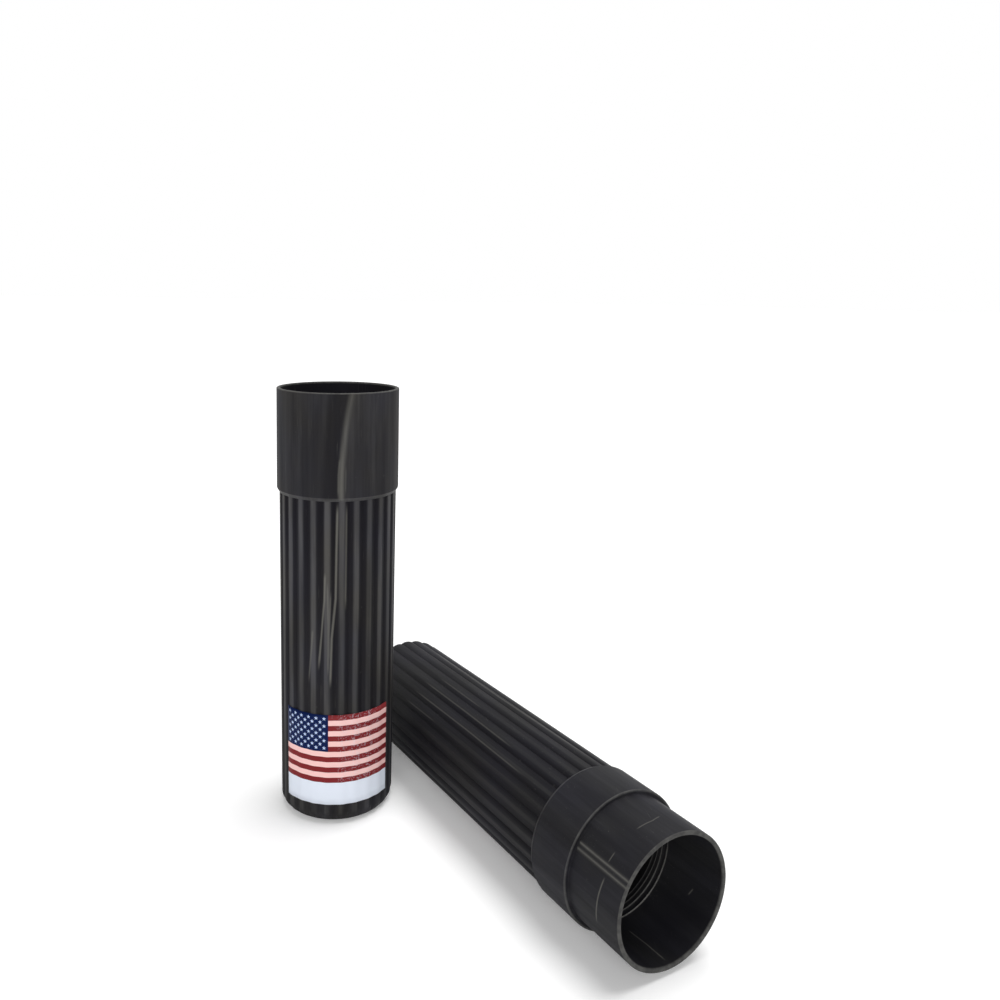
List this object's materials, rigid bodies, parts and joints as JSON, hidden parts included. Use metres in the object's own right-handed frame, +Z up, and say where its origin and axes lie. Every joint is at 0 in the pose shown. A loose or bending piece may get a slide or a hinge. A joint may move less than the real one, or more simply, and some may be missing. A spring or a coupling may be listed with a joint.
{
  "type": "toothbrush holder",
  "caption": "Ribbed plastic travel tube for a toothbrush: an upright lower part with a wide collar, and its cap with a push-in neck lying beside it.",
  "frame": {"origin": "centre of the lower part's flat foot, on the surface that it stands on", "axes": "+Z up along the lower part's axis; the cap lies on +X with its mouth towards -Y"},
  "size_m": [0.0591, 0.1091, 0.103],
  "materials": {
    "base_plastic": "semi-gloss black moulded plastic, lightly scratched",
    "cap_plastic": "semi-gloss black moulded plastic, lightly scratched",
    "label_print": "printed vinyl label, stars and stripes over a bare white band"
  },
  "bodies": {
    "base": {"base_tube": "base_plastic", "flag_label": "label_print"},
    "cap": {"cap_tube": "cap_plastic"}
  },
  "joints": [
    {"name": "cap_lift", "type": "slide", "parent": "base", "child": "cap", "axis": [0, 0, 1], "range_m": [0, 0.11]}
  ]
}
